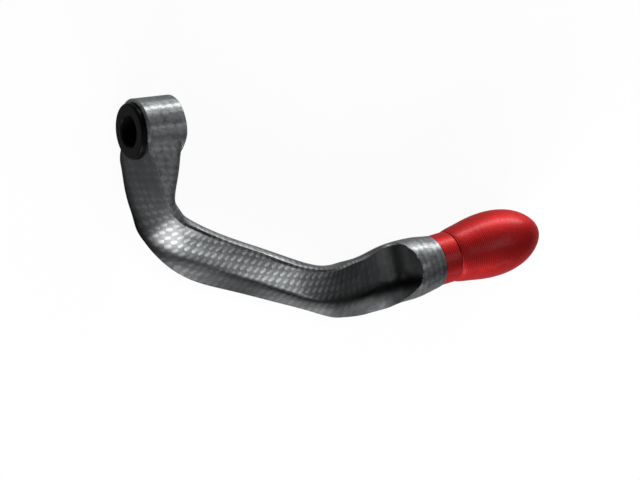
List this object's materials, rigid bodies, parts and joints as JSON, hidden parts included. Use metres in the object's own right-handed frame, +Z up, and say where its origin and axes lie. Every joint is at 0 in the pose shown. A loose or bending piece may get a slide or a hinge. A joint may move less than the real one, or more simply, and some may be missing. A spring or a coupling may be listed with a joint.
{
  "type": "brake lever guard",
  "caption": "L-shaped carbon arm with a bushed mounting eye at one end and a rounded red metal nose at the other, worn on a handlebar end to keep the brake lever from being struck.",
  "frame": {"origin": "centre of the eye's bore on the eye's inboard face, where it meets the handlebar's end", "axes": "+X inboard along the handlebar and the eye's bore, +Y rearward to the rider, +Z up as mounted"},
  "size_m": [0.2001, 0.1047, 0.029],
  "materials": {
    "carbon": "satin clear-coated woven carbon fibre",
    "black_anodised": "gloss black anodised, turned",
    "plain_aluminium": "plain turned",
    "red_anodised": "satin red anodised with fine turned lines"
  },
  "bodies": {
    "root": {"guard_arm": "carbon", "eye_bush": "black_anodised", "nose_insert": "plain_aluminium", "end_nose": "red_anodised"}
  },
  "joints": []
}
